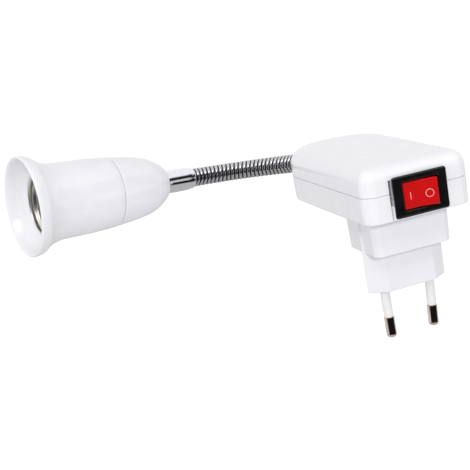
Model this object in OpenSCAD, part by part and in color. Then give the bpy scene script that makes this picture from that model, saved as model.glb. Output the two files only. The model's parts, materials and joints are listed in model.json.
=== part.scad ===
// Plug-in lamp holder: a wall plug with a rocker switch, a short flexible
// metal neck and a screw-in lamp socket with a flared skirt.
// Millimetres. The origin is the middle of the plug's engagement face, halfway
// between the pins. +Z points away from the wall outlet, X runs along the line
// of the pins, and -Y is the side with the switch.

/* [Housing] */
// Half width of the housing at its switch end
front_half_w = 20.8; // [18:0.1:24]
// Y position of the flat switch face
face_y = -20.3; // [-24:0.1:-19]
// Radius of the rounded rear end
rear_r = 22; // [21:0.1:25]
// Y position of the centre of the rear radius
rear_y = 44.7; // [38:0.1:52]
// Height of the underside of the housing above the engagement face
base_z = 30.6; // [28:0.1:32]
// Height of the parting line between the two shells
seam_z = 40.5; // [39.5:0.1:41]
// Height of the flat top
top_z = 50.7; // [50:0.1:54]
// Radius of the front vertical corners
corner_r = 5; // [3:0.1:7]
// Wall thickness of both shells
wall = 2; // [1.6:0.1:2.4]

/* [Plug] */
// Distance between the pins where they leave the face
pin_gap = 19; // [18:0.1:20]
// Radius of the bare metal of a pin
pin_r = 2; // [1.9:0.05:2.4]
// Length of a pin beyond the face
pin_len = 19.5; // [18.5:0.1:20]
// Length of the insulating sleeve beyond the face
sleeve_len = 11; // [9:0.1:12]
// Inward lean of each pin in degrees
pin_lean = 1.6; // [0:0.1:2]
// Half width of the lower plug body at its side ridges
plug_half_w = 16.5; // [15.5:0.1:17.6]
// Half depth of the lower plug body
plug_half_d = 4.9; // [4.5:0.1:6.8]
// Height of the step where the upper pads begin
step_z = 16; // [12:0.1:20]

/* [Switch] */
// Width of the switch bezel
bezel_w = 21; // [20:0.1:22]
// Height of the switch bezel
bezel_h = 15; // [14:0.1:15]
// Height of the middle of the switch above the engagement face
switch_z = 39; // [38.5:0.1:39.5]
// How far the rocker leans from its middle position in degrees
rocker_lean = 9; // [6:0.5:10]

/* [Neck] */
// Radius of the ridges of the flexible hose
hose_r = 4.3; // [4:0.1:4.8]
// Radius of the grooves of the flexible hose
hose_core_r = 3.6; // [3.4:0.1:3.8]
// Bore of the flexible hose
hose_bore_r = 2.3; // [2.2:0.1:2.6]
// Radius of the bend in which the neck is set
bend_r = 40.4; // [38:0.1:60]
// Angle through which the neck is bent
bend_a = 107.2; // [60:0.1:120]
// Downward lean of the neck where it leaves the housing
neck_pitch = -6.6; // [-10:0.1:10]
// Sideways roll of the plane of the bend
neck_roll = 3.9; // [-10:0.1:10]

/* [Socket] */
// Length of the socket from its rear face to its mouth
socket_len = 67.7; // [66:0.1:72]
// Radius of the rim of the flared skirt
flare_r = 21.5; // [20.5:0.1:24]
// Visible length of the chrome tube between hose and socket
ferrule_len = 14.8; // [12:0.1:20]
// Inside radius of the metal screw shell
thread_r = 13.3; // [13.2:0.05:13.4]
// Depth of the screw shell
thread_len = 20; // [18:0.5:22]

/* [Hidden] */
links = 9;
link_a = bend_a / links;
turns = 4;
joint_gap = 0.65;
neck_y = 65.7;
neck_z = 40.5;
mouth_t = ferrule_len + socket_len;
white = [0.93, 0.93, 0.95];
metal = [0.75, 0.76, 0.78];
copper = [0.85, 0.65, 0.3];
e = 0.01;

// ---------------------------------------------------------------- helpers

// angle of the side walls' normal, from the common tangent of the two radii
side_dx = -(front_half_w - corner_r);
side_dy = rear_y - face_y - corner_r;
side_n = atan2(side_dy, side_dx) - acos((corner_r - rear_r) / norm([side_dx, side_dy]));

// housing outline seen from above, set in by i all round and by fi at the front
function arc_pts(cx, cy, r, a0, a1, n) =
    [for (k = [0:n]) let (a = a0 + (a1 - a0) * k / n) [cx + r * cos(a), cy + r * sin(a)]];
function plan_pts(i, fi, n = 8) =
    let (rc = max(1.6, corner_r - i), cx = front_half_w - i - rc, cy = face_y + fi + rc,
         rr = rear_r - i)
    concat(arc_pts(cx, cy, rc, -90, side_n, n),
        arc_pts(0, rear_y, rr, side_n, 180 - side_n, 4 * n),
        arc_pts(-cx, cy, rc, 180 - side_n, 270, n));

module slice(z, i, fi) translate([0, 0, z]) linear_extrude(0.02) polygon(plan_pts(i, fi));

// domed shell form above the seam, g is the offset inwards
module upper_form(z0, g, steps) {
    p = g == 0 ? 2.3 : 2;
    rz = g == 0 ? 7 : 4.2; rs = g == 0 ? 6 : 3.4;
    // the front edge starts higher, above the switch
    rzf = g == 0 ? 5.5 : 4.2; rf = g == 0 ? 9 : 6;
    hull() {
        slice(z0, g, g);
        for (a = steps) {
            h = rz * pow(sin(a), 2 / p);
            hf = max(0, h - rz + rzf);
            slice(top_z - g - rz + h - 0.02, g + rs * (1 - pow(cos(a), 2 / p)),
                g + rf * (1 - pow(max(0, 1 - pow(hf / rzf, p)), 1 / p)));
        }
    }
}
// tray form below the seam
module lower_form(z1, g) {
    hull() {
        slice(z1 - 0.02, g, g);
        slice(base_z + g + 0.8, g + 0.15, g + 0.1);
        slice(base_z + g + 0.3, g + 0.3, g + 0.22);
        slice(base_z + g + 0.08, g + 0.55, g + 0.45);
        slice(base_z + g, g + 0.9, g + 0.8);
    }
}

// round bar between two points, and a bent wire along a list of points
module bar(p, q, r) {
    d = q - p; l = norm(d);
    translate(p) rotate([0, acos(d[2] / l), atan2(d[1], d[0])]) cylinder(r = r, h = l, $fn = 20);
}
module wire(pts, r) {
    for (k = [0:len(pts) - 2]) bar(pts[k], pts[k + 1], r);
    for (k = [1:len(pts) - 2]) translate(pts[k]) sphere(r = r + 0.06, $fn = 20);
}

// ring with a chamfered outer edge along Z
module ring(ro, ri, h, c = 0.3)
    rotate_extrude($fn = 64) polygon([[ri, 0], [ro - c, 0], [ro, c], [ro, h - c], [ro - c, h], [ri, h]]);

module hexnut(af, ri, h) difference() {
    intersection() {
        cylinder(r = af / sqrt(3), h = h, $fn = 6);
        rotate_extrude($fn = 48) polygon([[0, 0], [af / 2 + 0.1, 0], [af / 2 + 1.2, 0.6], [af / 2 + 1.2, h - 0.6], [af / 2 + 0.1, h], [0, h]]);
    }
    translate([0, 0, -1]) cylinder(r = ri, h = h + 2, $fn = 48);
}

// frame of the neck: origin where the hose starts, +Y along it, bend towards -X
module in_neck() translate([0, neck_y, neck_z]) rotate([neck_pitch, 0, 0]) rotate([0, neck_roll, 0]) children();
// frame at an angle along the bend
module at_bend(a) in_neck() translate([-bend_r, 0, 0]) rotate([0, 0, a]) translate([bend_r, 0, 0]) children();
// frame of the socket: +Z from the end of the hose towards the mouth
module in_socket() at_bend(bend_a) rotate([-90, 0, 0]) children();
// piece of a bent tube between two angles of the bend
module bent(a0, a1, ro, ri)
    in_neck() translate([-bend_r, 0, 0]) rotate([0, 0, a0])
        rotate_extrude(angle = a1 - a0, $fn = 96) translate([bend_r, 0]) difference() {
            circle(r = ro, $fn = 36);
            circle(r = ri, $fn = 36);
        }

// ---------------------------------------------------------------- housing

screw_pts = [[-15.2, 17], [15.2, 17], [-12.5, 47], [12.5, 47]];

module switch_cut() translate([-9.65, face_y - 3, switch_z - 6.55]) cube([19.3, 16, 13.1]);

module upper_shell() color(white) difference() {
    union() {
        difference() {
            upper_form(seam_z + 0.02, 0, [0, 15, 30, 45, 60, 75, 90]);
            upper_form(seam_z - 0.6, wall, [0, 30, 60, 90]);
        }
        for (p = screw_pts) hull() {
            translate([p[0], p[1], seam_z + 0.1]) cylinder(r = 3.1, h = 6.5, $fn = 32);
            translate([p[0], p[1], seam_z + 0.1]) cylinder(r = 2.9, h = top_z - seam_z - wall, $fn = 32);
        }
        // pads that trap the neck bushing from above
        translate([-8, 60.2, seam_z + 5.25]) cube([16, 1.8, 3.6]);
    }
    for (p = screw_pts) hull() {
        translate([p[0], p[1], seam_z - 1]) cylinder(r = 1.35, h = 7.9, $fn = 32);
        translate([p[0], p[1], seam_z - 1]) cylinder(r = 0.9, h = 8.5, $fn = 32);
    }
    // opening for the switch and the bushing at the rear
    switch_cut();
    translate([0, 55, neck_z]) rotate([-90, 0, 0]) cylinder(r = 5.1, h = 14, $fn = 48);
    // shallow groove along the parting line
    difference() {
        translate([-30, -30, seam_z - 0.5]) cube([60, 110, 0.85]);
        translate([0, 0, 0]) slice2(seam_z - 1, 0.45, 2.4);
    }
}
module slice2(z, i, h) translate([0, 0, z]) linear_extrude(h) polygon(plan_pts(i, i));

// lower plug body, a flat hexagon with its ridges at the sides
module plug_hex(d, z0, z1) {
    w = plug_half_w - d; k = plug_half_d - d; c = 6.5;
    translate([0, 0, z0]) linear_extrude(z1 - z0)
        polygon([[-w, 0], [-w + c, -k], [w - c, -k], [w, 0], [w - c, k], [-w + c, k]]);
}
// smaller hexagon for the hollow and for the clamp inside it
module hex_hollow(dw, dk, z0, z1) {
    w = plug_half_w - dw; k = plug_half_d - dk; c = 5.2;
    translate([0, 0, z0]) linear_extrude(z1 - z0)
        polygon([[-w, 0], [-w + c, -k], [w - c, -k], [w, 0], [w - c, k], [-w + c, k]]);
}
module plug_tip() {
    hull() {
        plug_hex(0, 0.9, 2);
        plug_hex(0.25, 0.35, 2);
        plug_hex(0.9, 0, 2);
    }
}
// pad with rounded corners on the front or the back of the plug body
module pad(w, y0, y1, r, z0) {
    hull() for (z = [[z0, 0.5], [z0 + 0.15, 0.15], [z0 + 0.5, 0], [base_z + 0.6, -0.5]])
        translate([0, 0, z[0]]) linear_extrude(0.02) {
            polygon(concat(
                arc_pts(w - z[1] - r, y1 > 0 ? y1 - z[1] - r : y0 + z[1] + r, r, y1 > 0 ? 0 : -90, y1 > 0 ? 90 : 0, 8),
                y1 > 0 ? arc_pts(-w + z[1] + r, y1 - z[1] - r, r, 90, 180, 8) : [[w - z[1], y1], [-w + z[1], y1]],
                y1 > 0 ? [[-w + z[1], y0], [w - z[1], y0]] : arc_pts(-w + z[1] + r, y0 + z[1] + r, r, 180, 270, 8)));
        }
}

module pin_frame(s) translate([s * pin_gap / 2, 0, 0]) rotate([0, s * pin_lean, 0]) children();

module lower_shell() color(white) difference() {
    union() {
        difference() {
            lower_form(seam_z - 0.02, 0);
            lower_form(seam_z + 2, wall);
        }
        plug_tip();
        plug_hex(0, 1.9, base_z + 1.5);
        pad(15.4, -11.4, -0.4, 3.2, step_z);
        pad(15.8, 0.4, 13.4, 3.2, step_z);
        // raised seat behind the rim of the switch
        translate([-10.7, face_y - 0.95, 31.2]) cube([21.4, 2, seam_z - 31.4]);
        for (p = screw_pts) translate([p[0], p[1], base_z + 1])
            cylinder(r = 3.8, h = seam_z - base_z - 1.1, $fn = 32);
        // saddle under the neck bushing
        translate([-8, 60.2, base_z + 1]) cube([16, 1.8, seam_z - base_z - 1.5]);
    }
    // hollow of the plug body
    translate([-13.7, -8.9, step_z + 2]) cube([27.4, 19.8, base_z + 3 - step_z]);
    hex_hollow(1.9, 1.3, 10.1, step_z + 3);
    for (s = [-1, 1]) translate([s * 3.6, 0, 4.8]) cylinder(r = 1.15, h = 8, $fn = 32);
    // pin holes with a clearance for the sleeve
    for (s = [-1, 1]) pin_frame(s) {
        translate([0, 0, -1]) cylinder(r = 1.9, h = 3, $fn = 32);
        translate([0, 0, -1]) cylinder(r = 2.15, h = 1.3, $fn = 32);
        translate([0, 0, 1.55]) cylinder(r = pin_r + 0.05, h = 9.5, $fn = 32);
    }
    // holes of the housing screws
    for (p = screw_pts) translate([p[0], p[1], base_z - 1]) {
        cylinder(r = 1.65, h = 20, $fn = 32);
        cylinder(r = 3, h = 4.4, $fn = 32);
    }
    switch_cut();
    translate([0, 55, neck_z]) rotate([-90, 0, 0]) cylinder(r = 5.1, h = 14, $fn = 48);
}

module housing_screws() color(metal) for (p = screw_pts) translate([p[0], p[1], 0]) {
    difference() {
        translate([0, 0, base_z + 1.6]) rotate_extrude($fn = 40)
            polygon([[0, 0], [1.9, 0], [2.7, 0.7], [2.7, 1.7], [0, 1.7]]);
        translate([0, 0, base_z + 1.2]) { translate([-1.7, -0.3, 0]) cube([3.4, 0.6, 1.2]); translate([-0.3, -1.7, 0]) cube([0.6, 3.4, 1.2]); }
    }
    translate([0, 0, base_z + 3.2]) cylinder(r = 1.4, h = 5.6, $fn = 32);
    translate([0, 0, base_z + 8.7]) cylinder(r = 1.25, h = 6.8, $fn = 32);
}

// ---------------------------------------------------------------- pins

module pin(s) color(copper) pin_frame(s) difference() {
    union() {
        rotate_extrude($fn = 48) polygon(concat([[0, -pin_len]],
            [for (a = [0:15:90]) [pin_r - 1.5 + 1.5 * sin(a), -pin_len + 1.5 * (1 - cos(a))]],
            [[pin_r, -sleeve_len - 0.05], [1.5, -sleeve_len - 0.05], [1.5, 1.6], [pin_r, 1.6], [pin_r, 10.2], [pin_r + 0.4, 10.2], [pin_r + 0.4, 11.8], [1.6, 11.8], [1.6, 15.5], [0, 15.5]]));
    }
    translate([0, 0, 12.5]) cylinder(r = 0.85, h = 4, $fn = 24);
}
module pin_left() pin(-1);
module pin_right() pin(1);

module pin_sleeves() color(white) for (s = [-1, 1]) pin_frame(s)
    rotate_extrude($fn = 48) polygon([[1.52, -sleeve_len], [1.72, -sleeve_len], [1.8, -sleeve_len + 0.4], [1.8, 1.5], [1.52, 1.5]]);

// moulded bar that presses the pin collars down, held by two screws
module pin_clamp() color([0.2, 0.2, 0.2]) difference() {
    hex_hollow(2.25, 1.55, 11.95, 14.55);
    for (s = [-1, 1]) pin_frame(s) cylinder(r = 1.75, h = 20, $fn = 32);
    for (s = [-1, 1]) translate([s * 3.6, 0, 5]) cylinder(r = 1.2, h = 20, $fn = 32);
}
module pin_clamp_screws() color(metal) for (s = [-1, 1]) translate([s * 3.6, 0, 0]) difference() {
    union() {
        translate([0, 0, 5]) cylinder(r = 1.1, h = 9.8, $fn = 32);
        translate([0, 0, 14.6]) rotate_extrude($fn = 40) polygon([[0, 0], [2.2, 0], [2.2, 0.8], [1.6, 1.5], [0, 1.5]]);
    }
    translate([-2.5, -0.3, 15.6]) cube([5, 0.6, 1]);
}

// ---------------------------------------------------------------- switch

rock_y = face_y + 0.6;
module in_rocker() translate([0, rock_y, switch_z]) rotate([0, 0, -rocker_lean]) children();

module switch_body() color([0.07, 0.07, 0.07]) difference() {
    union() {
        // bezel with bevelled edges
        hull() {
            translate([-bezel_w / 2, face_y - 1.5, switch_z - bezel_h / 2]) cube([bezel_w, 0.52, bezel_h]);
            translate([-bezel_w / 2 + 0.5, face_y - 2, switch_z - bezel_h / 2 + 0.5]) cube([bezel_w - 1, 1, bezel_h - 1]);
        }
        translate([-9.55, face_y - 1, switch_z - 6.45]) cube([19.1, 13, 12.9]);
    }
    // well of the rocker
    translate([-6.9, face_y - 3, switch_z - 5.1]) cube([13.8, 12.2, 10.2]);
    // pivot holes of the rocker
    translate([0, rock_y, switch_z - 6]) cylinder(r = 0.95, h = 12, $fn = 32);
    // slots of the terminals
    for (x = [0, 6.2]) translate([x - 0.55, face_y + 6, switch_z - 2.5]) cube([1.1, 8, 5]);
}

// rocker seen from above: a shallow V in front and a curved belly behind
module switch_rocker() color([0.8, 0.05, 0.05]) in_rocker() difference() {
    union() {
        translate([0, 0, -4.8]) linear_extrude(9.6) polygon([[-6.3, -3.2], [0, -2.3], [6.3, -3.2], [6.4, -1.2],
            [5.7, 1.6], [2.6, 3.1], [-2.6, 3.1], [-5.7, 1.6], [-6.4, -1.2]]);
        translate([0, 0, -5.9]) cylinder(r = 0.9, h = 11.8, $fn = 32);
    }
    // bore of the spring behind
    rotate([-90, 0, 0]) translate([0, 0, -0.6]) cylinder(r = 1.45, h = 6, $fn = 32);
}
// on and off marks, pale inlays level with the rocker's face
module rocker_marks() color([0.95, 0.85, 0.85]) in_rocker() {
    translate([-3.75, -2.836, -0.1]) rotate([0, 0, 8.13]) translate([-0.15, -0.03, -1.3]) cube([0.3, 0.14, 2.6]);
    translate([3.2, -2.757, -0.45]) rotate([0, 0, -8.13]) rotate([90, 0, 0]) translate([0, 0, -0.11])
        difference() { cylinder(r = 1.52, h = 0.14, $fn = 40); translate([0, 0, -1]) cylinder(r = 1.25, h = 3, $fn = 40); }
}
module rocker_plunger() color([0.9, 0.9, 0.85]) in_rocker() rotate([-90, 0, 0])
    rotate_extrude($fn = 36) polygon([[0, 1.5], [1.35, 1.5], [1.35, 5.3], [0.9, 6.3], [0.35, 6.7], [0, 6.75]]);
module rocker_spring() color(metal) in_rocker() rotate([-90, 0, 0]) for (k = [0:3])
    translate([0, 0, -0.3 + k * 0.48]) rotate_extrude($fn = 36) translate([1.05, 0]) circle(r = 0.17, $fn = 16);

lever_y = face_y + 8.1;
// rocking contact strip with a shallow V, on the middle terminal
module contact_lever() color(copper) translate([0, lever_y, switch_z]) rotate([0, 0, rocker_lean * 0.5])
    translate([0, 0, -1.8]) linear_extrude(3.6)
        polygon([[-6.2, -1.15], [-0.5, -0.25], [0.5, -0.25], [6.2, -1.15], [6.3, -0.6], [0.7, 0.3], [-0.7, 0.3], [-6.3, -0.6]]);

module switch_terminals() color(copper) {
    // middle blade with a rounded support for the strip
    translate([-0.4, lever_y + 0.85, switch_z - 2.4]) cube([0.8, 10.2, 4.8]);
    // end blade with its fixed contact
    translate([5.8, lever_y + 1.02, switch_z - 2.4]) cube([0.8, 10.1, 4.8]);
    translate([6.2, lever_y + 1.07, switch_z]) rotate([90, 0, 0]) cylinder(r = 0.62, h = 0.75, $fn = 32);
}

// ---------------------------------------------------------------- leads

module lead_live_in() color([0.45, 0.25, 0.12]) {
    wire([[-9.94, 0, 15.56], [-9.6, 0.5, 19], [-8, 4, 27], [-5, 6, 33.2], [-1.8, 4, 35.6], [-1.35, 0.9, 36.6], [-1.35, -1.3, 37.6]], 0.85);
}
module lead_live_out() color([0.45, 0.25, 0.12]) {
    wire([[7.6, -1.6, 39], [7.6, 2, 39], [8, 20, 38], [6, 40, 38.4], [2.6, 50, 39.8], [1.05, 56, 40.5], [1.05, 65.6, 40.5]], 0.85);
}
module lead_neutral() color([0.15, 0.3, 0.6]) {
    wire([[9.94, 0, 15.56], [9.6, 0.5, 19], [8, 5, 27], [4, 8.8, 34.4], [-4, 25, 35.2], [-5, 42, 37], [-2.6, 50, 39.8], [-1.05, 56, 40.5], [-1.05, 65.6, 40.5]], 0.85);
}

// ---------------------------------------------------------------- neck

// threaded bush in the rear wall, through which the leads pass
module neck_bushing() color(metal) translate([0, 0, neck_z]) rotate([-90, 0, 0]) difference() {
    union() {
        translate([0, 0, 57.4]) cylinder(r = 4.9, h = 7.75, $fn = 48);
        translate([0, 0, 62.05]) ring(6.4, 2.4, 1.5);
    }
    translate([0, 0, 50]) cylinder(r = 2.3, h = 20, $fn = 36);
}
module neck_locknut() color(metal) translate([0, 0, neck_z]) rotate([-90, 0, 0]) translate([0, 0, 57.5]) hexnut(13, 4.95, 2.5);

// one length of the hose: ridges on a core, with a narrow gap at each end
module hose(k) color(metal) {
    g = joint_gap * 180 / (PI * bend_r);
    a0 = (k - 1) * link_a + (k == 1 ? 0 : g);
    a1 = k * link_a - (k == links ? 0 : g);
    p = link_a / turns;
    bent(a0, a1, hose_core_r, hose_bore_r);
    for (j = [0:turns - 1])
        bent((k - 1) * link_a + (j + 0.34) * p, (k - 1) * link_a + (j + 0.66) * p, hose_r, hose_bore_r + 0.4);
}
module hose_leads(k) color([0.4, 0.3, 0.3]) {
    g = joint_gap * 180 / (PI * bend_r);
    in_neck() translate([-bend_r, 0, 0]) rotate([0, 0, (k - 1) * link_a + g])
        rotate_extrude(angle = link_a - 2 * g, $fn = 96) for (s = [-1, 1]) translate([bend_r + s * 1.05, 0]) circle(r = 0.85, $fn = 24);
}
module hose_1() hose(1);
module hose_2() hose(2);
module hose_3() hose(3);
module hose_4() hose(4);
module hose_5() hose(5);
module hose_6() hose(6);
module hose_7() hose(7);
module hose_8() hose(8);
module hose_9() hose(9);
module hose_leads_1() hose_leads(1);
module hose_leads_2() hose_leads(2);
module hose_leads_3() hose_leads(3);
module hose_leads_4() hose_leads(4);
module hose_leads_5() hose_leads(5);
module hose_leads_6() hose_leads(6);
module hose_leads_7() hose_leads(7);
module hose_leads_8() hose_leads(8);
module hose_leads_9() hose_leads(9);

// ---------------------------------------------------------------- socket
// z runs from the end of the hose to the mouth; s(x) is measured back from the mouth
function s(x) = mouth_t - x;

module ferrule() color(metal) in_socket() rotate_extrude($fn = 64)
    polygon([[2.35, 0.05], [4.5, 0.05], [4.75, 0.3], [4.8, 1.2], [5, 2], [5.15, 3], [5.25, 5], [5.25, ferrule_len - 0.05],
        [4.9, ferrule_len - 0.05], [4.9, ferrule_len + 9], [4.6, ferrule_len + 9.3], [3.4, ferrule_len + 9.3], [3.4, 8], [2.35, 7]]);
module ferrule_locknut() color(metal) in_socket() translate([0, 0, ferrule_len + 3.2]) hexnut(13, 4.95, 3);

// rear cap: a dome that closes the back of the socket
module socket_cap() color(white) in_socket() rotate_extrude($fn = 96) polygon([
    [5, s(67.7)], [5.8, s(67.7)], [6.9, s(67.2)], [8.5, s(65.5)], [10.4, s(62.9)], [11.8, s(60.3)], [12.9, s(57.2)], [13.7, s(53.6)],
    [14.3, s(50)], [14.75, s(46.6)], [15.1, s(43.5)], [15.35, s(41.2)], [15.15, s(40.85)], [13.05, s(40.85)],
    [13.05, s(50.6)], [12.4, s(52.2)], [11.9, s(56.4)], [10.6, s(60)], [8.6, s(63)], [7.4, s(64.6)], [5, s(64.6)]]);

// front shell with the flared skirt and a spigot that enters the rear cap
module socket_skirt() color(white) in_socket() rotate_extrude($fn = 96) polygon([
    [11.5, s(49.6)], [12.9, s(49.6)], [12.9, s(40.75)], [15.2, s(40.75)], [15.42, s(40.4)],
    [15.5, s(40)], [16, s(34)], [16.3, s(28)], [16.4, s(22)], [16.45, s(17)],
    [16.7, s(13.6)], [17.2, s(11.2)], [17.9, s(9.2)], [18.9, s(7.2)], [20, s(5.6)], [20.8, s(4.4)], [21.25, s(3)],
    [flare_r, s(1.2)], [flare_r - 0.1, s(0.3)], [flare_r - 0.6, s(0)], [flare_r - 1.2, s(0.25)],
    [19.6, s(1.6)], [18.9, s(3.6)], [17.6, s(5.4)], [16, s(6.7)], [14.6, s(7.3)], [13.8, s(7.5)],
    [13.8, s(36.2)], [12.2, s(36.3)], [12.2, s(38)], [11.5, s(39)]]);

// insulating base behind the screw shell
module socket_base() color([0.9, 0.9, 0.88]) in_socket() difference() {
    union() {
        translate([0, 0, s(36.1)]) ring(13.65, 0.5, 7.85, 0.4);
        translate([0, 0, s(37.3)]) cylinder(r = 12, h = 2, $fn = 64);
    }
    // holes of the rivets and of the centre contact
    for (x = [-9.4, 9.4]) translate([x, 0, s(39)]) cylinder(r = 1.25, h = 12, $fn = 32);
    translate([0, 0, s(39)]) cylinder(r = 1.25, h = 12, $fn = 32);
    // recess for the centre contact
    translate([-2.6, -5.2, s(31.7)]) cube([5.2, 8.4, 4.5]);
}

// thin metal shell that takes the bulb's screw cap
module screw_shell() color(metal) in_socket() difference() {
    rotate_extrude($fn = 96) polygon([
        [thread_r, s(7.6)], [thread_r + 0.4, s(7.6)], [thread_r + 0.4, s(7.5 + thread_len)], [thread_r - 0.2, s(8.1 + thread_len)],
        [6.6, s(8.1 + thread_len)], [6.6, s(7.6 + thread_len)], [thread_r - 0.5, s(7.6 + thread_len)], [thread_r, s(7.1 + thread_len)]]);
    for (x = [-9.4, 9.4]) translate([x, 0, s(30)]) cylinder(r = 1.25, h = 4, $fn = 32);
}

// angled tab with a hole for a clamping screw, its foot reaches from x0 to x1
module tab(x0, x1) difference() {
    translate([0, 1.8, 0]) rotate([90, 0, 0]) linear_extrude(3.6) polygon(x1 > x0 ?
        [[x0, s(42.2)], [x0 + 0.7, s(42.2)], [x0 + 0.7, s(38.05)], [x1, s(38.05)], [x1, s(37.35)], [x0, s(37.35)]] :
        [[x0 + 0.7, s(42.2)], [x0 + 0.7, s(37.35)], [x1, s(37.35)], [x1, s(38.05)], [x0, s(38.05)], [x0, s(42.2)]]);
    translate([x0 - 1, 0, s(40.4)]) rotate([0, 90, 0]) cylinder(r = 1.05, h = 3, $fn = 32);
}

// rivets that clamp the shell to the base, one with the strip of the shell's lead
module shell_contact() color(copper) in_socket() {
    for (x = [-9.4, 9.4]) {
        translate([x, 0, s(38.6)]) cylinder(r = 1.2, h = 11.1, $fn = 32);
        translate([x, 0, s(27.55)]) rotate_extrude($fn = 32) polygon([[0, 0], [2.2, 0], [1.7, 0.4], [0, 0.5]]);
    }
    tab(4, 11.1);
}

// springy strip that touches the tip of the bulb's cap, its rivet and its tab
module centre_contact() color(copper) in_socket() {
    translate([0, 0, s(38.6)]) cylinder(r = 1.2, h = 7.2, $fn = 32);
    translate([-1.9, 0, s(31.65)]) rotate([90, 0, 90]) linear_extrude(3.8) polygon([
        [1.6, 0], [1.6, 0.45], [-4, 0.45], [-0.9, 2.75], [1.5, 2.75], [1.5, 3.15], [-1.05, 3.15], [-4.75, 0.5], [-4.9, 0.2], [-4.7, 0]]);
    translate([0, 0.2, s(28.65)]) rotate_extrude($fn = 32) polygon([[0, 0], [1.25, 0], [1.15, 0.5], [0.7, 0.8], [0, 0.9]]);
    mirror([1, 0, 0]) tab(4, -1.7);
}

// clamping screws of the two leads
module terminal_screws() color(metal) in_socket() for (d = [-1, 1]) translate([d * 4.6, 0, s(40.4)]) rotate([0, d * 90, 0]) difference() {
    union() {
        translate([0, 0, -1]) cylinder(r = 1, h = 2, $fn = 32);
        translate([0, 0, 0.35]) cylinder(r = 1.9, h = 1.5, $fn = 32);
    }
    translate([-2.5, -0.25, 1.3]) cube([5, 0.5, 1]);
}

module socket_leads() color([0.4, 0.3, 0.3]) in_socket() {
    wire([[1.05, 0, 1], [1.05, 0, s(57)], [1.6, 2.2, s(51)], [2.4, 1.6, s(45)], [2.6, 0, s(40.4)]], 0.8);
    wire([[-1.05, 0, 1], [-1.05, 0, s(57)], [-1.6, -2.2, s(51)], [-2.4, -1.6, s(45)], [-2.6, 0, s(40.4)]], 0.8);
}

upper_shell();
lower_shell();
housing_screws();
pin_left();
pin_right();
pin_sleeves();
pin_clamp();
pin_clamp_screws();
switch_body();
switch_rocker();
rocker_marks();
rocker_plunger();
rocker_spring();
contact_lever();
switch_terminals();
lead_live_in();
lead_live_out();
lead_neutral();
neck_bushing();
neck_locknut();
hose_1();
hose_2();
hose_3();
hose_4();
hose_5();
hose_6();
hose_7();
hose_8();
hose_9();
hose_leads_1();
hose_leads_2();
hose_leads_3();
hose_leads_4();
hose_leads_5();
hose_leads_6();
hose_leads_7();
hose_leads_8();
hose_leads_9();
ferrule();
ferrule_locknut();
socket_cap();
socket_skirt();
socket_base();
screw_shell();
shell_contact();
centre_contact();
terminal_screws();
socket_leads();
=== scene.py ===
import json
import math
import bpy
import bmesh
import numpy as np
from mathutils import Matrix, Vector


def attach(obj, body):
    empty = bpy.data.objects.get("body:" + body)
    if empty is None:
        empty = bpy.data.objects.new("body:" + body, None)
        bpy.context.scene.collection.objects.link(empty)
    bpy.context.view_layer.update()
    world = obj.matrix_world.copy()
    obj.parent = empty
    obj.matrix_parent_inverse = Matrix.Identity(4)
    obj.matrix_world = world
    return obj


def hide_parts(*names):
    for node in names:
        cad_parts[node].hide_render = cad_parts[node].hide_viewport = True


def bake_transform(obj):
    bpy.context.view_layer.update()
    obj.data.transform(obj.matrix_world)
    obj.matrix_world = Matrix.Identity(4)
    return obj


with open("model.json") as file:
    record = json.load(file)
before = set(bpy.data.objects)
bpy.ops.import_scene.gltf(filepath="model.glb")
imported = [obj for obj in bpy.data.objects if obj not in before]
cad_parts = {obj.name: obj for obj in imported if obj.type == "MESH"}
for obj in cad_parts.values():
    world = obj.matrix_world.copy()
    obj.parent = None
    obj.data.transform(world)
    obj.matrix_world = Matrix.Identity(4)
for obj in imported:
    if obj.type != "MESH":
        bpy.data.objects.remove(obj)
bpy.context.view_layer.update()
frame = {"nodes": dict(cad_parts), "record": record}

MM = 0.001
NODES = frame["nodes"]

# ------------------------------------------------------------------ numbers, mm
HALF_W, FACE_Y, REAR_R, REAR_Y = 20.8, -20.3, 22.0, 44.7
BASE_Z, SEAM_Z, TOP_Z, CORNER_R, WALL = 30.6, 40.5, 50.7, 5.0, 2.0
STEP_Z = 16.0
RHO, BEND, LINKS = 40.4, 107.2, 9
LINK = BEND / LINKS
FERRULE, SOCKET = 14.8, 67.7
MOUTH = FERRULE + SOCKET
SCREWS = [(-15.2, 17), (15.2, 17), (-12.5, 47), (12.5, 47)]


def rot_x(a):
    c, s = math.cos(math.radians(a)), math.sin(math.radians(a))
    return np.array([[1, 0, 0], [0, c, -s], [0, s, c]])


def rot_y(a):
    c, s = math.cos(math.radians(a)), math.sin(math.radians(a))
    return np.array([[c, 0, s], [0, 1, 0], [-s, 0, c]])


NECK_M = rot_x(-6.6) @ rot_y(3.9)
NECK_O = np.array([0, 65.7, 40.5])


def bend_point(a, out=0.0, up=0.0):
    """Point at bend angle a (degrees), out along the radius and up across the plane of the bend."""
    t = math.radians(a)
    return NECK_O + NECK_M @ np.array([-RHO + (RHO + out) * math.cos(t), (RHO + out) * math.sin(t), up])


def bend_dir(a):
    t = math.radians(a)
    return NECK_M @ np.array([-math.sin(t), math.cos(t), 0])


END_P, END_N = bend_point(BEND), bend_dir(BEND)
END_U = NECK_M @ np.array([math.cos(math.radians(BEND)), math.sin(math.radians(BEND)), 0])
END_V = np.cross(END_N, END_U)


# ------------------------------------------------------------------ materials
def new_mat(name):
    m = bpy.data.materials.new(name)
    m.use_nodes = True
    nt = m.node_tree
    bsdf = nt.nodes["Principled BSDF"]
    return m, nt, bsdf


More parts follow.
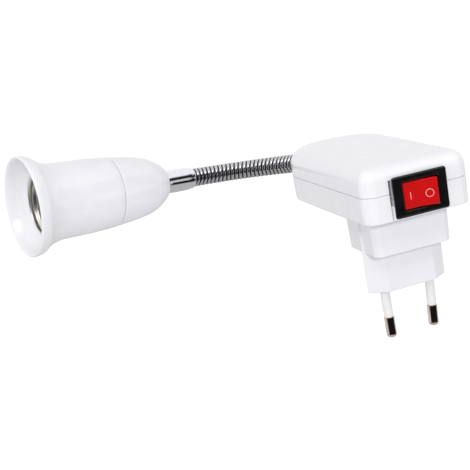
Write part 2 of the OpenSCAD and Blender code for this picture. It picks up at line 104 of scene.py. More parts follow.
def noise(nt, scale, detail=3.0, rough=0.5, dist=0.0):
    tc = nt.nodes.new("ShaderNodeTexCoord")
    n = nt.nodes.new("ShaderNodeTexNoise")
    n.inputs["Scale"].default_value = scale
    n.inputs["Detail"].default_value = detail
    n.inputs["Roughness"].default_value = rough
    n.inputs["Distortion"].default_value = dist
    nt.links.new(tc.outputs["Object"], n.inputs["Vector"])
    return n


def ramp(nt, src, stops):
    r = nt.nodes.new("ShaderNodeValToRGB")
    els = r.color_ramp.elements
    while len(els) < len(stops):
        els.new(0.5)
    for e, (pos, col) in zip(els, stops):
        e.position = pos
        e.color = (*col, 1) if len(col) == 3 else col
    nt.links.new(src, r.inputs["Fac"])
    return r


def mapped(nt, src, lo, hi):
    m = nt.nodes.new("ShaderNodeMapRange")
    m.inputs["To Min"].default_value = lo
    m.inputs["To Max"].default_value = hi
    nt.links.new(src, m.inputs["Value"])
    return m.outputs["Result"]


def bump(nt, bsdf, src, strength, distance):
    b = nt.nodes.new("ShaderNodeBump")
    b.inputs["Strength"].default_value = strength
    b.inputs["Distance"].default_value = distance
    nt.links.new(src, b.inputs["Height"])
    nt.links.new(b.outputs["Normal"], bsdf.inputs["Normal"])


def plastic(name, c0, c1, r0, r1, scale=220, fine=2600, bump_s=0.04, coat=0.0, sub=0.0, spec=0.5, dist=0.00002):
    """Moulded plastic: slight cloudiness in the colour, uneven gloss, faint moulding texture."""
    m, nt, b = new_mat(name)
    n = noise(nt, scale, 4)
    nt.links.new(ramp(nt, n.outputs["Fac"], [(0.3, c0), (0.7, c1)]).outputs["Color"], b.inputs["Base Color"])
    n2 = noise(nt, scale * 0.35, 3)
    nt.links.new(mapped(nt, n2.outputs["Fac"], r0, r1), b.inputs["Roughness"])
    n3 = noise(nt, fine, 2)
    bump(nt, b, n3.outputs["Fac"], bump_s, dist)
    b.inputs["Specular IOR Level"].default_value = spec
    b.inputs["Coat Weight"].default_value = coat
    b.inputs["Coat Roughness"].default_value = 0.06
    if sub:
        b.inputs["Subsurface Weight"].default_value = sub
        b.inputs["Subsurface Radius"].default_value = (0.004, 0.004, 0.0035)
        b.inputs["Subsurface Scale"].default_value = 0.5
    return m


def metal(name, c0, c1, r0, r1, scale=350, stretch=None, bump_s=0.03, dist=0.00001):
    """Plated or drawn metal: tone and polish vary, with fine drawing marks along one axis if stretched."""
    m, nt, b = new_mat(name)
    tc = nt.nodes.new("ShaderNodeTexCoord")
    mp = nt.nodes.new("ShaderNodeMapping")
    mp.inputs["Scale"].default_value = stretch or (1, 1, 1)
    nt.links.new(tc.outputs["Object"], mp.inputs["Vector"])
    n = nt.nodes.new("ShaderNodeTexNoise")
    n.inputs["Scale"].default_value = scale
    n.inputs["Detail"].default_value = 4
    nt.links.new(mp.outputs["Vector"], n.inputs["Vector"])
    nt.links.new(ramp(nt, n.outputs["Fac"], [(0.3, c0), (0.7, c1)]).outputs["Color"], b.inputs["Base Color"])
    nt.links.new(mapped(nt, n.outputs["Fac"], r0, r1), b.inputs["Roughness"])
    n2 = noise(nt, scale * 6, 2)
    bump(nt, b, n2.outputs["Fac"], bump_s, dist)
    b.inputs["Metallic"].default_value = 1.0
    return m


MAT = {
    "white_plastic": plastic("white_plastic", (0.845, 0.845, 0.875), (0.885, 0.885, 0.91), 0.13, 0.2, 140, 2200, 0.03, 0.15, 0.08),
    "sleeve_plastic": plastic("sleeve_plastic", (0.82, 0.81, 0.79), (0.88, 0.87, 0.85), 0.3, 0.42, 500, 4000, 0.06),
    "pin_metal": metal("pin_metal", (0.80, 0.69, 0.61), (0.88, 0.78, 0.71), 0.05, 0.1, 700, (1, 1, 0.15), 0.01),
    "screw_steel": metal("screw_steel", (0.55, 0.56, 0.58), (0.68, 0.69, 0.70), 0.24, 0.38, 900),
    "grey_plastic": plastic("grey_plastic", (0.03, 0.03, 0.033), (0.05, 0.05, 0.054), 0.4, 0.55, 400, 3000, 0.15),
    "black_plastic": plastic("black_plastic", (0.0035, 0.0035, 0.004), (0.008, 0.008, 0.009), 0.2, 0.3, 380, 3600, 0.05, 0.1, 0, 0.4),
    "red_plastic": plastic("red_plastic", (0.53, 0.001, 0.0015), (0.60, 0.0016, 0.003), 0.18, 0.28, 300, 3600, 0.05, 0.05, 0, 0.35),
    "mark_plastic": plastic("mark_plastic", (0.86, 0.26, 0.26), (0.92, 0.34, 0.34), 0.4, 0.55, 1500, 6000, 0.1),
    "natural_plastic": plastic("natural_plastic", (0.68, 0.66, 0.58), (0.75, 0.73, 0.66), 0.35, 0.5, 500, 4000, 0.08),
    "contact_brass": metal("contact_brass", (0.60, 0.42, 0.16), (0.74, 0.55, 0.24), 0.2, 0.38, 800),
    "brown_insulation": plastic("brown_insulation", (0.07, 0.03, 0.014), (0.10, 0.045, 0.02), 0.35, 0.5, 600, 3000, 0.12),
    "blue_insulation": plastic("blue_insulation", (0.01, 0.05, 0.28), (0.015, 0.07, 0.36), 0.35, 0.5, 600, 3000, 0.12),
    "nut_steel": metal("nut_steel", (0.52, 0.53, 0.55), (0.66, 0.67, 0.68), 0.25, 0.4, 700),
    "chrome_hose": metal("chrome_hose", (0.52, 0.52, 0.53), (0.62, 0.62, 0.63), 0.07, 0.14, 900, None, 0.02),
    "chrome_tube": metal("chrome_tube", (0.80, 0.80, 0.83), (0.86, 0.86, 0.885), 0.07, 0.13, 600, None, 0.02),
    "base_ceramic": plastic("base_ceramic", (0.74, 0.73, 0.69), (0.80, 0.79, 0.76), 0.45, 0.62, 700, 3600, 0.2, 0, 0.05),
    "shell_aluminium": metal("shell_aluminium", (0.72, 0.70, 0.67), (0.82, 0.80, 0.77), 0.3, 0.42, 700),
}


def lead_pair(name):
    """Brown on one side and blue on the other, told apart by a wave across the leads."""
    m, nt, b = new_mat(name)
    n = noise(nt, 60, 1)
    nt.links.new(ramp(nt, n.outputs["Fac"], [(0.46, (0.07, 0.03, 0.014)), (0.54, (0.012, 0.055, 0.3))]).outputs["Color"], b.inputs["Base Color"])
    n2 = noise(nt, 2400, 2)
    nt.links.new(mapped(nt, n2.outputs["Fac"], 0.35, 0.5), b.inputs["Roughness"])
    bump(nt, b, n2.outputs["Fac"], 0.1, 0.00002)
    return m


MAT["lead_insulation"] = lead_pair("lead_insulation")

slot_of = {s["node"]: s["material_slot"] for s in frame["record"]["subparts"]}


def paint(obj, slot):
    obj.data.materials.clear()
    obj.data.materials.append(MAT[slot])


for name, obj in NODES.items():
    paint(obj, slot_of[name])


# ------------------------------------------------------------------ mesh tools
def make(name, verts, faces, slot, body=None, smooth=True, angle=None):
    me = bpy.data.meshes.new(name)
    me.from_pydata([tuple(float(c) * MM for c in v) for v in verts], [], faces)
    me.validate()
    bm = bmesh.new()
    bm.from_mesh(me)
    bmesh.ops.remove_doubles(bm, verts=bm.verts, dist=1e-7)
    bmesh.ops.recalc_face_normals(bm, faces=bm.faces)
    bm.to_mesh(me)
    bm.free()
    o = bpy.data.objects.new(name, me)
    bpy.context.scene.collection.objects.link(o)
    me.materials.append(MAT[slot])
    shade(o, smooth, angle)
    if body:
        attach(o, body)
    return o


def shade(o, smooth=True, angle=None):
    me = o.data
    me.polygons.foreach_set("use_smooth", [smooth] * len(me.polygons))
    if smooth and angle is not None:
        bm = bmesh.new()
        bm.from_mesh(me)
        lim = math.radians(angle)
        for e in bm.edges:
            if len(e.link_faces) == 2:
                e.smooth = e.calc_face_angle(0) < lim
        bm.to_mesh(me)
        bm.free()
    me.update()


def loft(rings, close_start=True, close_end=True):
    """Rings of equal length, each a list of points; closed round, capped by one face at each end."""
    n = len(rings[0])
    verts = [p for r in rings for p in r]
    faces = []
    for k in range(len(rings) - 1):
        for i in range(n):
            j = (i + 1) % n
            faces.append((k * n + i, k * n + j, (k + 1) * n + j, (k + 1) * n + i))
    if close_start:
        faces.append(tuple(reversed(range(n))))
    if close_end:
        faces.append(tuple(range((len(rings) - 1) * n, len(rings) * n)))
    return verts, faces


def temp(name, verts, faces):
    me = bpy.data.meshes.new(name)
    me.from_pydata([tuple(float(c) for c in v) for v in verts], [], faces)
    bm = bmesh.new()
    bm.from_mesh(me)
    bmesh.ops.recalc_face_normals(bm, faces=bm.faces)
    bm.to_mesh(me)
    bm.free()
    o = bpy.data.objects.new(name, me)
    bpy.context.scene.collection.objects.link(o)
    return o


def boolean(target, tools, op):
    """Joins or cuts with exact booleans and applies the result."""
    for t in tools:
        md = target.modifiers.new("b", "BOOLEAN")
        md.operation = op
        md.solver = "EXACT"
        md.object = t
    deps = bpy.context.evaluated_depsgraph_get()
    deps.update()
    me = bpy.data.meshes.new_from_object(target.evaluated_get(deps))
    target.modifiers.clear()
    old = target.data
    target.data = me
    bpy.data.meshes.remove(old)
    for t in tools:
        old = t.data
        bpy.data.objects.remove(t)
        bpy.data.meshes.remove(old)


def box_mesh(lo, hi):
    v = [(x, y, z) for x in (lo[0], hi[0]) for y in (lo[1], hi[1]) for z in (lo[2], hi[2])]
    f = [(0, 1, 3, 2), (4, 6, 7, 5), (0, 4, 5, 1), (2, 3, 7, 6), (0, 2, 6, 4), (1, 5, 7, 3)]
    return v, f


def cyl_mesh(centre, axis, r0, r1, length, n=48):
    c = np.array(centre, float)
    a = np.array(axis, float)
    a /= np.linalg.norm(a)
    u = np.cross(a, [0, 0, 1] if abs(a[2]) < 0.9 else [1, 0, 0])
    u /= np.linalg.norm(u)
    w = np.cross(a, u)
    rings = []
    for d, r in ((0, r0), (length, r1)):
        rings.append([c + a * d + r * (math.cos(t) * u + math.sin(t) * w) for t in np.linspace(0, 2 * math.pi, n, endpoint=False)])
    return loft(rings)


def lathe(profile, seg, closed=True):
    """Revolves (radius, z) points about the socket's axis; z from the end of the hose towards the mouth."""
    verts, faces = [], []
    n = len(profile)
    for k in range(seg):
        t = 2 * math.pi * k / seg
        d = math.cos(t) * END_U + math.sin(t) * END_V
        for r, z in profile:
            verts.append(END_P + END_N * z + d * r)
    m = n if closed else n - 1
    for k in range(seg):
        k2 = (k + 1) % seg
        for i in range(m):
            j = (i + 1) % n
            faces.append((k * n + i, k * n + j, k2 * n + j, k2 * n + i))
    return verts, faces


def spline(points, per=6):
    """Smooth curve through points (centripetal-like Catmull-Rom with limited tangents)."""
    p = np.array(points, float)
    out = []
    for i in range(len(p) - 1):
        p0 = p[max(i - 1, 0)]
        p1, p2 = p[i], p[i + 1]
        p3 = p[min(i + 2, len(p) - 1)]
        d1 = np.linalg.norm(p1 - p0) + 1e-9
        d2 = np.linalg.norm(p2 - p1) + 1e-9
        d3 = np.linalg.norm(p3 - p2) + 1e-9
        m1 = (p2 - p1) / d2 if i == 0 else ((p1 - p0) / d1 * d2 + (p2 - p1) / d2 * d1) / (d1 + d2)
        m2 = (p2 - p1) / d2 if i == len(p) - 2 else ((p2 - p1) / d2 * d3 + (p3 - p2) / d3 * d2) / (d2 + d3)
        for k in range(per):
            t = k / per
            h = [2 * t**3 - 3 * t**2 + 1, t**3 - 2 * t**2 + t, -2 * t**3 + 3 * t**2, t**3 - t**2]
            out.append(h[0] * p1 + h[1] * d2 * m1 + h[2] * p2 + h[3] * d2 * m2)
    out.append(p[-1])
    return [tuple(x) for x in out]


# ------------------------------------------------------------------ housing shells
SDX, SDY = -(HALF_W - CORNER_R), REAR_Y - FACE_Y - CORNER_R
SIDE_N = math.degrees(math.atan2(SDY, SDX)) - math.degrees(math.acos((CORNER_R - REAR_R) / math.hypot(SDX, SDY)))


def plan(i, fi, z, n=12, sides=10):
    """Housing outline set in by i, by fi at the front, at height z."""
    rc = max(1.6, CORNER_R - i)
    cx, cy, rr = HALF_W - i - rc, FACE_Y + fi + rc, REAR_R - i
    pts = []

    def arc(x, y, r, a0, a1, k):
        for s in range(k + 1):
            a = math.radians(a0 + (a1 - a0) * s / k)
            pts.append((x + r * math.cos(a), y + r * math.sin(a), z))

    def line(p, q, k):
        for s in range(1, k):
            t = s / k
            pts.append((p[0] + (q[0] - p[0]) * t, p[1] + (q[1] - p[1]) * t, z))

    arc(cx, cy, rc, -90, SIDE_N, n)
    a = math.radians(SIDE_N)
    line(pts[-1], (rr * math.cos(a), REAR_Y + rr * math.sin(a)), sides)
    arc(0, REAR_Y, rr, SIDE_N, 180 - SIDE_N, 5 * n)
    a = math.radians(180 - SIDE_N)
    line(pts[-1], (-cx + rc * math.cos(a), cy + rc * math.sin(a)), sides)
    arc(-cx, cy, rc, 180 - SIDE_N, 270, n)
    line(pts[-1], (cx, FACE_Y + fi), 8)
    return pts


def upper_rings(g, z0, steps=26):
    """Domed shell above the seam; the front edge starts to curve higher up, above the switch."""
    p = 2.3 if g == 0 else 2.0
    rz, rs = (7.0, 6.0) if g == 0 else (4.2, 3.4)
    rzf, rf = (5.5, 9.0) if g == 0 else (4.2, 6.0)
    out = [plan(g, g, z0)]
    if g == 0:
        out = [plan(0.4, 0.4, z0), plan(0.4, 0.4, SEAM_Z + 0.13), plan(0.12, 0.12, SEAM_Z + 0.26), plan(0.03, 0.03, SEAM_Z + 0.36), plan(0, 0, SEAM_Z + 0.5)]
    for k in range(steps + 1):
        a = math.radians(90 * k / steps)
        h = rz * math.sin(a) ** (2 / p)
        hf = max(0.0, h - rz + rzf)
        fi = rf * (1 - max(0.0, 1 - (hf / rzf) ** p) ** (1 / p))
        out.append(plan(g + rs * (1 - max(0.0, math.cos(a)) ** (2 / p)), g + fi, TOP_Z - g - rz + h))
    return out


def rrect(hw, hh, r, y, cz=39.0, n=8):
    pts = []
    for sx, sz, a0 in ((1, 1, 0), (-1, 1, 90), (-1, -1, 180), (1, -1, 270)):
        for k in range(n + 1):
            a = math.radians(a0 + 90 * k / n)
            pts.append((sx * (hw - r) + r * math.cos(a), y, cz + sz * (hh - r) + r * math.sin(a)))
    return pts


SWITCH_CUT = ((-9.65, FACE_Y - 3, 39 - 6.55), (9.65, FACE_Y + 13, 39 + 6.55))

upper = temp("t_upper", *loft(upper_rings(0, SEAM_Z + 0.02)))
inner = temp("t_upper_in", *loft(upper_rings(WALL, SEAM_Z - 1)))
boolean(upper, [inner], "DIFFERENCE")
# gap left of the switch in the upper shell and the groove that carries it on below the seam, as in the real front
SIDE_CUTS = [((-11.3, FACE_Y - 1, 36.2), (-10.2, FACE_Y + 3, 45.6)), ((-11.25, FACE_Y - 1, 29.5), (-10.85, FACE_Y + 1.2, 36.3))]
boolean(upper, [temp("t_side", *box_mesh(*b)) for b in SIDE_CUTS] + [temp("t_cut", *box_mesh(*SWITCH_CUT)), temp("t_cut2", *cyl_mesh((0, 55, 40.5), (0, 1, 0), 5.1, 5.1, 14))], "DIFFERENCE")


def finish_shell(tmp, name, slot, body, node, angle):
    me = tmp.data
    for v in me.vertices:
        v.co *= MM
    tmp.name = name
    me.name = name
    me.materials.clear()
    me.materials.append(MAT[slot])
    shade(tmp, True, angle)
    if slot == "white_plastic":
        wn = tmp.modifiers.new("normals", "WEIGHTED_NORMAL")
        wn.weight = 80
        wn.keep_sharp = True
    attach(tmp, body)
    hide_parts(node)
    return tmp


finish_shell(upper, "housing_top", "white_plastic", "base", "upper_shell", 24)


def lower_rings(g, z1, steps=8):
    rz, ri = 0.75, 0.75
    out = []
    for k in range(steps + 1):
        a = math.radians(90 * k / steps)
        out.append(plan(g + 0.15 + ri * (1 - math.sin(a)), g + 0.1 + ri * (1 - math.sin(a)), BASE_Z + g + rz * (1 - math.cos(a))))
    if g == 0:
        out += [plan(0, 0, z1 - 0.3), plan(0.03, 0.03, z1 - 0.12), plan(0.15, 0.15, z1)]
    else:
        out.append(plan(g, g, z1))
    return out


def pad_rings(w, y0, y1, r, z0, z1):
    """Pad with two rounded vertical corners and a rounded lower edge; y1 > 0 is the back one."""
    out = []
    prof = [(0.5 * (1 - math.sin(math.radians(a))), 0.5 * (1 - math.cos(math.radians(a)))) for a in range(0, 91, 15)]
    for ins, dz in prof:
        pts = []
        ww = w - ins

        def arc(x, y, a0, a1):
            rr = max(r - ins, 0.5)
            for s in range(11):
                a = math.radians(a0 + (a1 - a0) * s / 10)
                pts.append((x + rr * math.cos(a), y + rr * math.sin(a), z0 + dz))
        if y1 > 0:
            arc(w - r, y1 - r, 0, 90)
            arc(-w + r, y1 - r, 90, 180)
            pts.append((-ww, y0, z0 + dz))
            pts.append((ww, y0, z0 + dz))
        else:
            arc(w - r, y0 + r, -90, 0)
            pts.append((ww, y1, z0 + dz))
            pts.append((-ww, y1, z0 + dz))
            arc(-w + r, y0 + r, 180, 270)
        out.append(pts)
    out.append([(x * (1 + 0.5 / w), y, z1) for x, y, z in out[-1]])
    return out


def hex_rings():
    w, k, c = 16.5, 4.9, 6.5
    out = []
    for ins, z in ((0.9, 0), (0.42, 0.12), (0.12, 0.42), (0, 0.9), (0, 8), (0, 31.5)):
        ww, kk = w - ins, k - ins
        base = [(-ww, 0), (-ww + c, -kk), (ww - c, -kk), (ww, 0), (ww - c, kk), (-ww + c, kk)]
        pts = []
        rr = 0.55
        for q in range(6):
            p0, p1, p2 = (np.array(base[(q + d) % 6], float) for d in (-1, 0, 1))
            a, b = (p0 - p1) / np.linalg.norm(p0 - p1), (p2 - p1) / np.linalg.norm(p2 - p1)
            for t in (0, 0.25, 0.5, 0.75, 1):
                s = (1 - t) ** 2
                e = t ** 2
                m = 2 * t * (1 - t)
                v = s * (p1 + a * rr) + m * p1 + e * (p1 + b * rr)
                pts.append((v[0], v[1], z))
        out.append(pts)
    return out


lower = temp("t_lower", *loft(lower_rings(0, SEAM_Z - 0.02)))
boolean(lower, [temp("t_lower_in", *loft(lower_rings(WALL, SEAM_Z + 2)))], "DIFFERENCE")
boolean(lower, [temp("t_pad1", *loft(pad_rings(15.4, -11.4, -0.4, 3.2, STEP_Z, BASE_Z + 0.8))),
                temp("t_pad2", *loft(pad_rings(15.8, 0.4, 13.4, 3.2, STEP_Z, BASE_Z + 0.8))),
                temp("t_hex", *loft(hex_rings())),
                temp("t_seat", *loft([rrect(10.75, 4.62, 0.8, y, 35.76) for y in (-19.2, -20.95)] + [rrect(10.69, 4.56, 0.75, -21.14, 35.76), rrect(10.5, 4.37, 0.6, -21.26, 35.76)]))], "UNION")
cuts = [temp("t_side", *box_mesh(*b)) for b in SIDE_CUTS] + [temp("t_cut", *box_mesh(*SWITCH_CUT)), temp("t_cut2", *cyl_mesh((0, 55, 40.5), (0, 1, 0), 5.1, 5.1, 14))]
for x, y in SCREWS:
    cuts.append(temp("t_s", *cyl_mesh((x, y, BASE_Z - 1), (0, 0, 1), 3.35, 2.95, 1.4)))
    cuts.append(temp("t_s", *cyl_mesh((x, y, BASE_Z + 0.3), (0, 0, 1), 2.95, 2.95, 1.3)))
boolean(lower, cuts, "DIFFERENCE")
finish_shell(lower, "housing_bottom", "white_plastic", "base", "lower_shell", 24)

# ------------------------------------------------------------------ neck
PITCH = 2.05


def coil(name, a0, a1, slot="chrome_hose", ridged=True):
    """Close-wound strip hose from bend angle a0 to a1, a rounded ridge that climbs one pitch per turn; unridged, a
    plain round tube of radius 4 whose dark colour is painted shade between the ridges.
    """
    arc = math.radians(1) * RHO
    n = max(2, int(round((a1 - a0) * arc / PITCH * 14)))
    seg = 48
    verts, faces = [], []
    for i in range(n + 1):
        a = a0 + (a1 - a0) * i / n
        t = math.radians(a)
        for k in range(seg):
            f = 2 * math.pi * k / seg
            u = a * arc / PITCH - k / seg
            x = u - math.floor(u)
            h = math.sqrt(max(0.0, 1 - (2 * x - 1) ** 2)) if x < 1 else 0
            r = 3.2 + 1.1 * h if ridged else 4.0
            verts.append(NECK_O + NECK_M @ np.array([-RHO + (RHO + r * math.cos(f)) * math.cos(t), (RHO + r * math.cos(f)) * math.sin(t), r * math.sin(f)]))
    for i in range(n):
        for k in range(seg):
            j = (k + 1) % seg
            faces.append((i * seg + k, i * seg + j, (i + 1) * seg + j, (i + 1) * seg + k))
    return make(name, verts, faces, slot)


# near-black tube inside the coil that shows between the ridges: painted shade in the hose's grooves, not a dark part
# of the hose
painted_groove_shade = metal("hose_groove_painted_shade", (0.014, 0.014, 0.015), (0.03, 0.03, 0.032), 0.35, 0.5, 900)
for kind, ridged in (("neck_coil", True), ("neck_painted_groove_shade", False)):
    for k in range(LINKS + 1):
        a0 = -0.6 if k == 0 else (k - 0.5) * LINK
        a1 = BEND + 1.2 if k == LINKS else (k + 0.5) * LINK
        o = coil(f"{kind}_{k}", a0, a1, ridged=ridged)
        if not ridged:
            o.data.materials[0] = painted_groove_shade
        if k == 0:
            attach(o, "base")
        elif k == LINKS:
            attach(o, "holder")
        else:
            b = "holder" if k == LINKS - 1 else f"neck_{k + 1}"
            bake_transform(o)
        if ridged and k != LINKS - 1:
            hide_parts(f"hose_{min(k + 1, LINKS)}")

# ------------------------------------------------------------------ ferrule and socket
s = lambda x: MOUTH - x
ferrule_out = spline([(4.25, 0.1), (4.55, 0.15), (4.75, 0.45), (4.8, 1.3), (4.95, 2), (5.12, 3), (5.22, 4.4), (5.25, 6), (5.25, 14.3)], 5)
ferrule = ferrule_out + [(5.2, 14.6), (5.0, 14.75), (4.9, 14.75), (4.9, 23.8), (4.6, 24.1), (3.4, 24.1), (3.4, 8), (2.6, 7), (2.6, 0.6)]
o = make("neck_ferrule", *lathe(ferrule, 96), "chrome_tube", "holder", True, 35)
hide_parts("ferrule")

cap_out = spline([(5.8, s(67.7)), (6.9, s(67.2)), (8.5, s(65.5)), (10.4, s(62.9)), (11.8, s(60.3)), (12.9, s(57.2)), (13.7, s(53.6)), (14.3, s(50)), (14.75, s(46.6)), (15.1, s(43.5)), (15.3, s(41.7)), (15.3, s(41.3))], 5)
cap = [(5.05, s(67.7))] + cap_out + [(15.24, s(41.08)), (15.05, s(40.92)), (13.05, s(40.88)), (13.05, s(50.6)), (12.4, s(52.2)), (11.9, s(56.4)), (10.6, s(60)), (8.6, s(63)), (7.4, s(64.6)), (5.05, s(64.6))]
o = make("socket_rear_cap", *lathe(cap, 128), "white_plastic", "holder", True, 32)
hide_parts("socket_cap")

skirt_out = spline([(15.38, s(40.25)), (15.5, s(39.7)), (15.62, s(39)), (16, s(34)), (16.3, s(28)), (16.42, s(22)), (16.5, s(17)), (16.7, s(13.6)), (17.2, s(11.2)), (17.9, s(9.2)),
                    (18.9, s(7.2)), (20, s(5.6)), (20.8, s(4.4)), (21.25, s(3)), (21.5, s(1.4)), (21.45, s(0.5)), (21.1, s(0.05)), (20.6, s(0.1)), (20.2, s(0.45)),
                    (19.6, s(1.6)), (18.9, s(3.4)), (17.6, s(5.3)), (16, s(6.6)), (14.7, s(7.25)), (13.95, s(7.55)), (13.8, s(7.9))], 5)
skirt = [(12.9, s(49.6)), (12.9, s(40.7)), (15.05, s(40.72)), (15.26, s(40.56))] + skirt_out + [(13.8, s(36.2)), (12.2, s(36.3)), (12.2, s(38)), (11.5, s(39)), (11.5, s(49.6))]
o = make("socket_front_skirt", *lathe(skirt, 144), "white_plastic", "holder", True, 40)
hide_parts("socket_skirt")


# rolled thread of the metal shell
def thread_shell():
    seg, pitch = 96, 3.62
    z0, z1 = s(27.6), s(7.75)
    n = 110
    verts, faces = [], []

    def wall(z, f, off):
        u = (z - z0) / pitch - f / (2 * math.pi)
        fade = min(1.0, (z1 - z) / 1.3)
        low = min(1.0, (z - z0) / 1.2)
        r = 13.05 + 0.42 * math.cos(2 * math.pi * u) * fade * low + 0.25 * (1 - fade) - 0.95 * (1 - low)
        return r + off
    rows = []
    for off, order in ((0.0, range(n + 1)), (0.25, range(n, -1, -1))):
        for i in order:
            rows.append((z0 + (z1 - z0) * i / n, off))
    for z, off in rows:
        for k in range(seg):
            f = 2 * math.pi * k / seg
            d = math.cos(f) * END_U + math.sin(f) * END_V
            verts.append(END_P + END_N * z + d * wall(z, f, off))
    m = len(rows)
    for i in range(m - 1):
        for k in range(seg):
            j = (k + 1) % seg
            faces.append((i * seg + k, i * seg + j, (i + 1) * seg + j, (i + 1) * seg + k))
    # flange that closes the shell towards the base, as a ring joined to both walls
    base = len(verts)
    for r, z in ((6.6, s(27.6)), (6.6, s(27.85))):
        for k in range(seg):
            f = 2 * math.pi * k / seg
            d = math.cos(f) * END_U + math.sin(f) * END_V
            verts.append(END_P + END_N * z + d * r)
    last = (m - 1) * seg
    for k in range(seg):
        j = (k + 1) % seg
        faces.append((k, j, base + j, base + k))
        faces.append((base + k, base + j, base + seg + j, base + seg + k))
        faces.append((base + seg + k, base + seg + j, last + j, last + k))
    return verts, faces


o = make("lamp_thread_shell", *thread_shell(), "shell_aluminium", "holder", True, 50)
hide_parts("screw_shell")

# ------------------------------------------------------------------ switch
bezel = temp("t_bezel", *loft([rrect(9.5, 6.4, 0.4, -8.35), rrect(9.5, 6.4, 0.4, -21.28), rrect(10.4, 7.4, 1.0, -21.28), rrect(10.5, 7.5, 1.0, -21.38),
                               rrect(10.5, 7.5, 1.0, -21.56), rrect(10.46, 7.46, 1.0, -21.72), rrect(10.34, 7.34, 0.95, -21.93), rrect(10.12, 7.12, 0.9, -22.12),
                               rrect(9.85, 6.85, 0.85, -22.24), rrect(9.5, 6.5, 0.8, -22.3)]))
well = temp("t_well", *loft([rrect(7.35, 5.55, 0.8, -22.8), rrect(7.35, 5.55, 0.8, -22.31), rrect(7.14, 5.34, 0.65, -22.22), rrect(6.98, 5.18, 0.5, -22.05),
                             rrect(6.9, 5.1, 0.45, -21.8), rrect(6.9, 5.1, 0.45, -11.1)]))
boolean(bezel, [well] + [temp("t_slot", *box_mesh((x - 0.55, -14.3, 36.5), (x + 0.55, -6.3, 41.5))) for x in (0, 6.2)]
        + [temp("t_pivot", *cyl_mesh((0, -19.7, 33), (0, 0, 1), 0.95, 0.95, 12))], "DIFFERENCE")
finish_shell(bezel, "switch_bezel", "black_plastic", "base", "switch_body", 30)


def rocker_mesh():
    """Shallow V in front, curved belly behind, drawn in the rocker's own frame and turned to its pressed side."""
    outline = [(-6.3, -3.2), (0, -2.3), (6.3, -3.2), (6.42, -1.6), (6.3, -0.2), (5.7, 1.6), (4.4, 2.5), (2.6, 3.1), (-2.6, 3.1), (-4.4, 2.5), (-5.7, 1.6), (-6.3, -0.2), (-6.42, -1.6)]
    v = [(x, y, z) for z in (-4.8, 4.8) for x, y in outline]
    n = len(outline)
    f = [tuple(reversed(range(n))), tuple(range(n, 2 * n))] + [(i, (i + 1) % n, n + (i + 1) % n, n + i) for i in range(n)]
    me = bpy.data.meshes.new("rocker_cap")
    me.from_pydata(v, [], f)
    bm = bmesh.new()
    bm.from_mesh(me)
    bmesh.ops.recalc_face_normals(bm, faces=bm.faces)
    sharp = [e for e in bm.edges if e.calc_face_angle(0) > math.radians(35)]
    bmesh.ops.bevel(bm, geom=sharp, offset=0.34, offset_type="OFFSET", segments=4, profile=0.5, affect="EDGES")
    fold = [e for e in bm.edges if abs(e.verts[0].co.x) < 1e-4 and abs(e.verts[1].co.x) < 1e-4 and e.verts[0].co.y < -2 and e.verts[1].co.y < -2]
    bmesh.ops.bevel(bm, geom=fold, offset=0.7, offset_type="OFFSET", segments=4, profile=0.5, affect="EDGES")
    a = math.radians(-9)
    for q in bm.verts:
        x, y = q.co.x, q.co.y
        q.co = (x * math.cos(a) - y * math.sin(a), -19.7 + x * math.sin(a) + y * math.cos(a), 39 + q.co.z)
    bm.to_mesh(me)
    bm.free()
    o = bpy.data.objects.new("rocker_cap", me)
    bpy.context.scene.collection.objects.link(o)
    return o


finish_shell(rocker_mesh(), "rocker_cap", "red_plastic", "rocker", "switch_rocker", 50)

# ------------------------------------------------------------------ finer edges on carried-over nodes
for name, width, seg in (("pin_clamp", 0.25, 2),):
    o = NODES[name]
    w = o.modifiers.new("weld", "WELD")
    w.merge_threshold = 0.000001
    b = o.modifiers.new("edge", "BEVEL")
    b.width = width * MM
    b.segments = seg
    b.limit_method = "ANGLE"
    b.angle_limit = math.radians(35)
    b.use_clamp_overlap = True
    b.harden_normals = False

# ------------------------------------------------------------------ floor, light, camera
floor_me = bpy.data.meshes.new("floor")
z, S = -0.16, 60.0
floor_me.from_pydata([(-S, -0.25, z), (S, -0.25, z), (S, S, z), (-S, S, z)], [], [(0, 1, 2, 3)])
floor = bpy.data.objects.new("floor", floor_me)
bpy.context.scene.collection.objects.link(floor)
fm, fnt, fb = new_mat("floor_paper")
fn = noise(fnt, 30, 3)
fnt.links.new(ramp(fnt, fn.outputs["Fac"], [(0.3, (0.93, 0.93, 0.935)), (0.7, (0.95, 0.95, 0.95))]).outputs["Color"], fb.inputs["Base Color"])
fb.inputs["Roughness"].default_value = 0.9
fb.inputs["Specular IOR Level"].default_value = 0.1
fb.inputs["Emission Color"].default_value = (1, 1, 1, 1)
fb.inputs["Emission Strength"].default_value = 0.45
floor_me.materials.append(fm)
floor.visible_diffuse = False
floor.visible_glossy = False

world = bpy.data.worlds.new("studio")
bpy.context.scene.world = world
world.use_nodes = True
wt = world.node_tree
WORLD_LOW, WORLD_TOP = 0.82, 0.6
MIRROR_LOW, MIRROR_TOP = 0.52, 1.03
wt.nodes.clear()
# bright tent above, a dim gap towards the photographer, seen only by light and reflections
tc = wt.nodes.new("ShaderNodeTexCoord")
sep = wt.nodes.new("ShaderNodeSeparateXYZ")
wt.links.new(tc.outputs["Generated"], sep.inputs["Vector"])


def world_range(src, a, b, lo, hi):
    mr = wt.nodes.new("ShaderNodeMapRange")
    mr.interpolation_type = "SMOOTHSTEP"
    mr.inputs["From Min"].default_value = a
    mr.inputs["From Max"].default_value = b
    mr.inputs["To Min"].default_value = lo
    mr.inputs["To Max"].default_value = hi
    wt.links.new(src, mr.inputs["Value"])
    return mr.outputs["Result"]


def world_math(op, a, b):
    mn = wt.nodes.new("ShaderNodeMath")
    mn.operation = op
    for k, v in enumerate((a, b)):
        if isinstance(v, (int, float)):
            mn.inputs[k].default_value = v
        else:
            wt.links.new(v, mn.inputs[k])
    return mn.outputs["Value"]


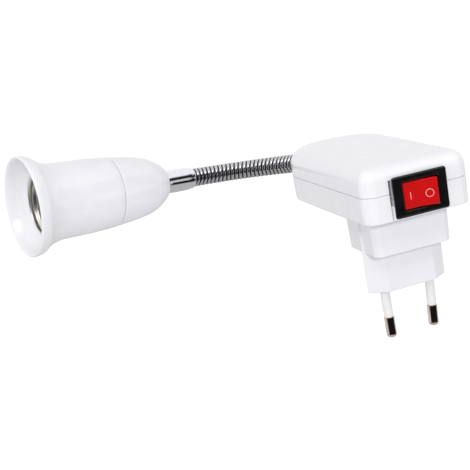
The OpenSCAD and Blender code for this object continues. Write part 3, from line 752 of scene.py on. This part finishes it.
dim_side = world_range(sep.outputs["Y"], 0.0, -0.28, 0.0, 1.0)
dim_high = world_range(sep.outputs["Z"], 0.46, 0.64, 1.0, 0.0)
dim_low = world_range(sep.outputs["Z"], -0.6, -0.44, 0.0, 1.0)
dim = world_math("MULTIPLY", world_math("MULTIPLY", dim_side, dim_high), dim_low)
dome = world_range(sep.outputs["Z"], -0.6, 0.1, WORLD_LOW, WORLD_TOP)
mirror = world_math("MULTIPLY", world_range(sep.outputs["Z"], -0.6, 0.1, MIRROR_LOW, MIRROR_TOP), world_math("SUBTRACT", 1.0, world_math("MULTIPLY", dim, 0.985)))
back = wt.nodes.new("ShaderNodeBackground")
back.inputs["Color"].default_value = (0.985, 0.985, 1.0, 1)
lp = wt.nodes.new("ShaderNodeLightPath")
glossy = lp.outputs["Is Glossy Ray"]
strength = world_math("ADD", world_math("MULTIPLY", mirror, glossy), world_math("MULTIPLY", dome, world_math("SUBTRACT", 1.0, glossy)))
wt.links.new(strength, back.inputs["Strength"])
seen = wt.nodes.new("ShaderNodeBackground")
seen.inputs["Color"].default_value = (1, 1, 1, 1)
seen.inputs["Strength"].default_value = 1.0
mixs = wt.nodes.new("ShaderNodeMixShader")
wt.links.new(lp.outputs["Is Camera Ray"], mixs.inputs[0])
wt.links.new(back.outputs[0], mixs.inputs[1])
wt.links.new(seen.outputs[0], mixs.inputs[2])
wo = wt.nodes.new("ShaderNodeOutputWorld")
wt.links.new(mixs.outputs[0], wo.inputs["Surface"])
world.cycles.sampling_method = "NONE"


def area(name, loc, target, size, power, size_y=None, color=(1, 1, 1)):
    li = bpy.data.lights.new(name, "AREA")
    li.energy = power
    li.color = color
    li.shape = "RECTANGLE"
    li.size = size
    li.size_y = size_y or size
    o = bpy.data.objects.new(name, li)
    bpy.context.scene.collection.objects.link(o)
    o.location = loc
    d = Vector(target) - Vector(loc)
    o.rotation_euler = d.to_track_quat("-Z", "Y").to_euler()
    return o


area("key", (-0.25, -0.55, 0.85), (-0.03, 0.02, 0.03), 0.5, 2.3)
# front fill that lights the white plastic and isn't mirrored in the gloss
for name, loc, side, power in (("fill", (-0.2, -1.0, 0.41), 0.12, 3.5), ("left_fill", (-1.0, -0.25, 0.28), 0.5, 1.05)):
    fill = area(name, loc, (-0.04, 0.02, 0.03), side, power)
    fill.visible_glossy = False

cam_data = bpy.data.cameras.new("camera")
cam_data.sensor_width = 36.0
cam_data.sensor_fit = "HORIZONTAL"
cam_data.lens = 36.0 * 900.0 / 470.0
cam_data.clip_start = 0.01
cam_data.clip_end = 50
cam = bpy.data.objects.new("camera", cam_data)
bpy.context.scene.collection.objects.link(cam)
right = Vector((0.9427351961, -0.2833791477, -0.1759164819))
down = Vector((-0.2341420179, -0.1866351119, -0.9541199350))
fwd = Vector((0.2375455017, 0.9406718841, -0.2422984543))
m = Matrix.Identity(4)
for c, v in enumerate((right, -down, -fwd)):
    for r in range(3):
        m[r][c] = v[r]
m[0][3], m[1][3], m[2][3] = -0.13915, -0.30119, 0.11235
cam.matrix_world = m
bpy.context.scene.camera = cam
bpy.context.scene.view_settings.view_transform = "Standard"
bpy.context.scene.view_settings.look = "None"
